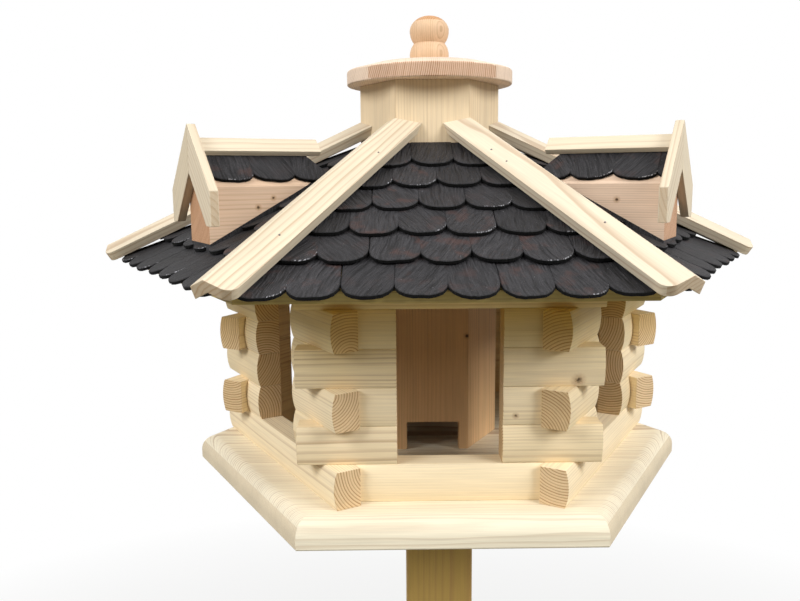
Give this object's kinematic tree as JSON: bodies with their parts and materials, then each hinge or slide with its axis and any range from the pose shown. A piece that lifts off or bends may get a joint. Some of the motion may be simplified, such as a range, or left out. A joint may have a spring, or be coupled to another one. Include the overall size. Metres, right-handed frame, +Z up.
{
  "type": "bird feeder",
  "caption": "Six-sided wooden log bird feeder on a square post, with a central seed silo rising as a chimney, a shingled roof with hip battens and dormers, and a lift-off lid.",
  "frame": {"origin": "centre of the post's foot, on the ground", "axes": "+Z up, -Y towards the front of the feeder, +X to the right as seen from the front"},
  "size_m": [0.6814, 0.6002, 1.6621],
  "materials": {
    "post_pine": "planed pine, weathered",
    "base_pine": "sanded pine",
    "log_pine": "milled pine strips",
    "silo_pine": "planed pine with upright grain",
    "shingle_stain": "dark stained shingles",
    "batten_pine": "planed pine",
    "dormer_wood": "planed reddish pine",
    "lid_pine": "sanded pine with end grain at the rim",
    "knob_wood": "turned wood"
  },
  "bodies": {
    "feeder": {"back_left_wall_even_logs": "log_pine", "back_left_wall_odd_logs": "log_pine", "back_right_wall_even_logs": "log_pine", "back_right_wall_odd_logs": "log_pine", "back_wall_even_logs": "log_pine", "back_wall_odd_logs": "log_pine", "base_board": "base_pine", "dormer_left_barge_boards": "batten_pine", "dormer_left_block": "dormer_wood", "dormer_left_ridge_batten": "batten_pine", "dormer_left_shingles": "shingle_stain", "dormer_right_barge_boards": "batten_pine", "dormer_right_block": "dormer_wood", "dormer_right_ridge_batten": "batten_pine", "dormer_right_shingles": "shingle_stain", "front_left_wall_even_logs": "log_pine", "front_left_wall_odd_logs": "log_pine", "front_right_wall_even_logs": "log_pine", "front_right_wall_odd_logs": "log_pine", "front_wall_even_logs": "log_pine", "front_wall_odd_logs": "log_pine", "hip_batten_back_left": "batten_pine", "hip_batten_back_right": "batten_pine", "hip_batten_front_left": "batten_pine", "hip_batten_front_right": "batten_pine", "hip_batten_left": "batten_pine", "hip_batten_right": "batten_pine", "post": "post_pine", "roof_back": "shingle_stain", "roof_back_left": "shingle_stain", "roof_back_right": "shingle_stain", "roof_front": "shingle_stain", "roof_front_left": "shingle_stain", "roof_front_right": "shingle_stain", "silo_board_back": "silo_pine", "silo_board_back_left": "silo_pine", "silo_board_back_right": "silo_pine", "silo_board_front": "silo_pine", "silo_board_front_left": "silo_pine", "silo_board_front_right": "silo_pine"},
    "lid_and_knob": {"lid": "lid_pine", "lid_plug": "lid_pine", "knob": "knob_wood"}
  },
  "joints": [
    {"name": "lid_lift", "type": "slide", "parent": "feeder", "child": "lid_and_knob", "axis": [0, 0, 1], "range_m": [0, 0.15]}
  ]
}
